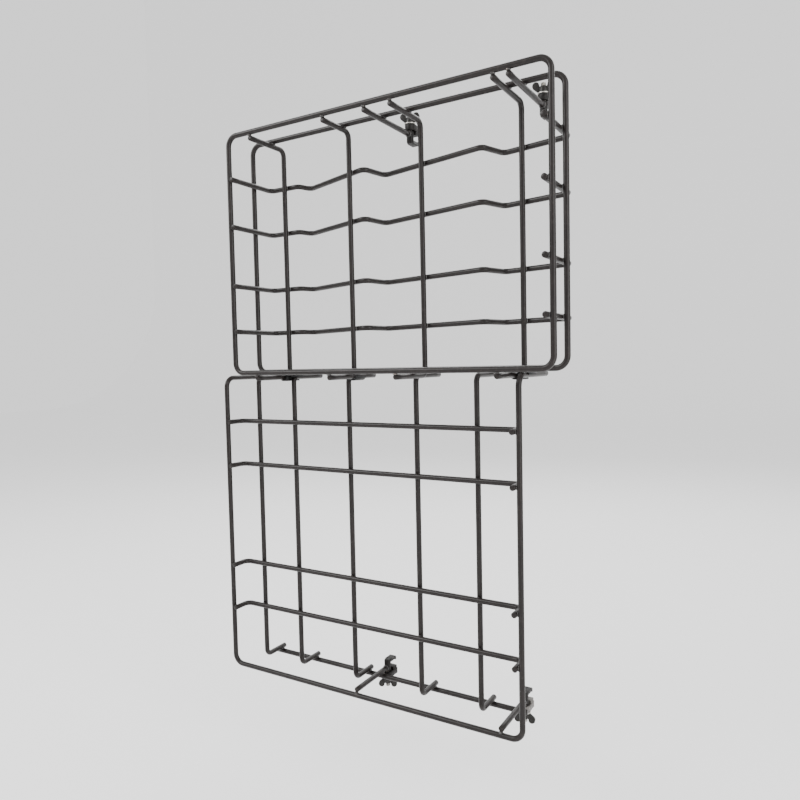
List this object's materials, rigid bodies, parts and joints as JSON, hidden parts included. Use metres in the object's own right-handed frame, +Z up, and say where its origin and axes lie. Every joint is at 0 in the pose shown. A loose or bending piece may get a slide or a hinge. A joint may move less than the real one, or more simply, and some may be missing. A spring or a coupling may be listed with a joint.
{
  "type": "roof cargo basket",
  "caption": "Two-part welded wire cargo basket: deep basket with a stepped floor above a shallow tray, hung from two rails by hook clamps with wing nuts.",
  "frame": {"origin": "on the axis of the upper carrier rail (8 mm), midway between the two upper clamps; the rail isn't part of the row", "axes": "+Z up, +X along the rails and the width, to the right seen from the front, +Y towards the surface behind the rails"},
  "size_m": [0.4835, 0.1268, 0.7497],
  "materials": {
    "wire_coating": "satin black-bronze powder coat on steel wire",
    "clamp_casting": "coated casting, slightly rough",
    "plated_steel": "zinc plated, turned",
    "blackened_steel": "blackened, worn at the edges",
    "clip_nylon": "moulded black nylon"
  },
  "bodies": {
    "cargo_basket": {"basket_rim": "wire_coating", "basket_middle_ring": "wire_coating", "basket_upright_1": "wire_coating", "basket_upright_2": "wire_coating", "basket_upright_3": "wire_coating", "basket_upright_4": "wire_coating", "basket_floor_wire_1": "wire_coating", "basket_floor_wire_2": "wire_coating", "basket_floor_wire_3": "wire_coating", "basket_floor_wire_4": "wire_coating", "basket_standoff_bar_middle": "wire_coating", "basket_standoff_bar_right": "wire_coating", "tray_rim": "wire_coating", "tray_cross_wire_1": "wire_coating", "tray_cross_wire_2": "wire_coating", "tray_cross_wire_3": "wire_coating", "tray_cross_wire_4": "wire_coating", "tray_upright_1": "wire_coating", "tray_upright_2": "wire_coating", "tray_upright_3": "wire_coating", "tray_upright_4": "wire_coating", "tray_upright_5": "wire_coating", "tray_top_rail": "wire_coating", "tray_bottom_rail": "wire_coating", "tray_standoff_bar_middle": "wire_coating", "tray_standoff_bar_right": "wire_coating", "joining_clip_left": "clip_nylon", "joining_clip_middle": "clip_nylon", "joining_clip_right": "clip_nylon", "clamp_hook_basket_middle": "clamp_casting", "clamp_stud_basket_middle": "plated_steel", "clamp_hook_basket_right": "clamp_casting", "clamp_stud_basket_right": "plated_steel", "clamp_hook_tray_middle": "clamp_casting", "clamp_stud_tray_middle": "plated_steel", "clamp_hook_tray_right": "clamp_casting", "clamp_stud_tray_right": "plated_steel"},
    "jaw_basket_middle": {"clamp_jaw_basket_middle": "clamp_casting", "clamp_washer_basket_middle": "plated_steel"},
    "nut_basket_middle": {"wing_nut_basket_middle": "blackened_steel"},
    "jaw_basket_right": {"clamp_jaw_basket_right": "clamp_casting", "clamp_washer_basket_right": "plated_steel"},
    "nut_basket_right": {"wing_nut_basket_right": "blackened_steel"},
    "jaw_tray_middle": {"clamp_jaw_tray_middle": "clamp_casting", "clamp_washer_tray_middle": "plated_steel"},
    "nut_tray_middle": {"wing_nut_tray_middle": "blackened_steel"},
    "jaw_tray_right": {"clamp_jaw_tray_right": "clamp_casting", "clamp_washer_tray_right": "plated_steel"},
    "nut_tray_right": {"wing_nut_tray_right": "blackened_steel"}
  },
  "joints": [
    {"name": "jaw_slide_basket_middle", "type": "slide", "parent": "cargo_basket", "child": "jaw_basket_middle", "axis": [0, 0, 1], "range_m": [0, 0.006]},
    {"name": "wing_nut_turn_basket_middle", "type": "hinge", "parent": "jaw_basket_middle", "child": "nut_basket_middle", "pos_m": [-0.087, -0.0088, 0.0173], "axis": [0, 0, 1], "range_deg": [0, 2160]},
    {"name": "jaw_slide_basket_right", "type": "slide", "parent": "cargo_basket", "child": "jaw_basket_right", "axis": [0, 0, 1], "range_m": [0, 0.006]},
    {"name": "wing_nut_turn_basket_right", "type": "hinge", "parent": "jaw_basket_right", "child": "nut_basket_right", "pos_m": [0.087, -0.0088, 0.0173], "axis": [0, 0, 1], "range_deg": [0, 2160]},
    {"name": "jaw_slide_tray_middle", "type": "slide", "parent": "cargo_basket", "child": "jaw_tray_middle", "axis": [0, 0, -1], "range_m": [0, 0.006]},
    {"name": "wing_nut_turn_tray_middle", "type": "hinge", "parent": "jaw_tray_middle", "child": "nut_tray_middle", "pos_m": [-0.1384, -0.0088, -0.7074], "axis": [0, 0, -1], "range_deg": [0, 2160]},
    {"name": "jaw_slide_tray_right", "type": "slide", "parent": "cargo_basket", "child": "jaw_tray_right", "axis": [0, 0, -1], "range_m": [0, 0.006]},
    {"name": "wing_nut_turn_tray_right", "type": "hinge", "parent": "jaw_tray_right", "child": "nut_tray_right", "pos_m": [0.0563, -0.0088, -0.7074], "axis": [0, 0, -1], "range_deg": [0, 2160]}
  ],
  "couplings": [
    {"joint": "jaw_slide_basket_middle", "follows": "wing_nut_turn_basket_middle", "m_per_rad": 0.00015915},
    {"joint": "jaw_slide_basket_right", "follows": "wing_nut_turn_basket_right", "m_per_rad": 0.00015915},
    {"joint": "jaw_slide_tray_middle", "follows": "wing_nut_turn_tray_middle", "m_per_rad": 0.00015915},
    {"joint": "jaw_slide_tray_right", "follows": "wing_nut_turn_tray_right", "m_per_rad": 0.00015915}
  ]
}
